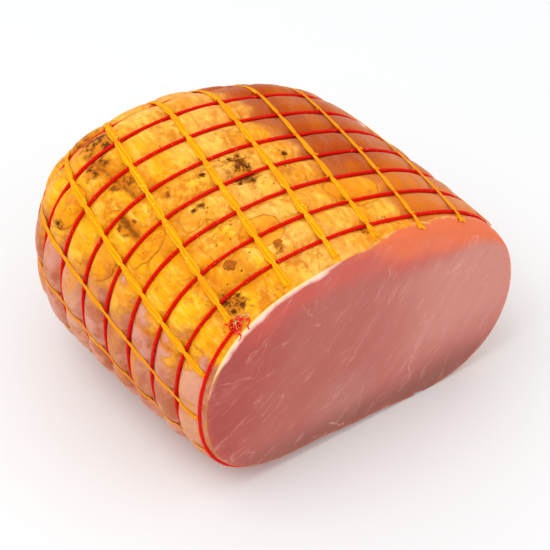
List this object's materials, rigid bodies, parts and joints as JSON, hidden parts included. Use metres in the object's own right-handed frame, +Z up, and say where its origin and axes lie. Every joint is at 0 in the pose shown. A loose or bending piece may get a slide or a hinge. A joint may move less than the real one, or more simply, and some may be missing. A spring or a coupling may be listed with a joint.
{
  "type": "dry-cured garlic pork round",
  "caption": "Dry-cured garlic pork round in a red and yellow elastic net, cut flat to show pink marbled meat, with a golden spiced fat rind and a rounded far end.",
  "frame": {"origin": "centre of the bounding box at its bottom, on the surface that it lies on", "axes": "+X runs across the cut face to the right as seen from the front, +Y from the cut face to the rounded far end, +Z up"},
  "size_m": [0.1582, 0.1412, 0.1064],
  "materials": {
    "cured_meat": "moist cured pork with a golden fat rind and a pink cut face",
    "red_elastic": "covered elastic with a fine wrapped thread, slightly glossy",
    "yellow_string": "flat knitted thread stained by the cure"
  },
  "bodies": {
    "root": {"meat": "cured_meat", "red_hoop_01": "red_elastic", "red_hoop_02": "red_elastic", "red_hoop_03": "red_elastic", "red_hoop_04": "red_elastic", "red_hoop_05": "red_elastic", "red_hoop_06": "red_elastic", "red_hoop_07": "red_elastic", "red_hoop_08": "red_elastic", "red_hoop_09": "red_elastic", "red_hoop_10": "red_elastic", "red_hoop_11": "red_elastic", "red_hoop_12": "red_elastic", "yellow_string_01": "yellow_string", "yellow_string_02": "yellow_string", "yellow_string_03": "yellow_string", "yellow_string_04": "yellow_string", "yellow_string_05": "yellow_string", "yellow_string_06": "yellow_string", "yellow_string_07": "yellow_string", "yellow_string_08": "yellow_string", "yellow_string_09": "yellow_string", "yellow_string_10": "yellow_string", "yellow_string_11": "yellow_string", "yellow_string_12": "yellow_string", "yellow_string_13": "yellow_string", "yellow_string_14": "yellow_string", "yellow_string_15": "yellow_string", "yellow_string_16": "yellow_string", "yellow_string_17": "yellow_string", "yellow_string_18": "yellow_string", "yellow_string_19": "yellow_string"}
  },
  "joints": []
}
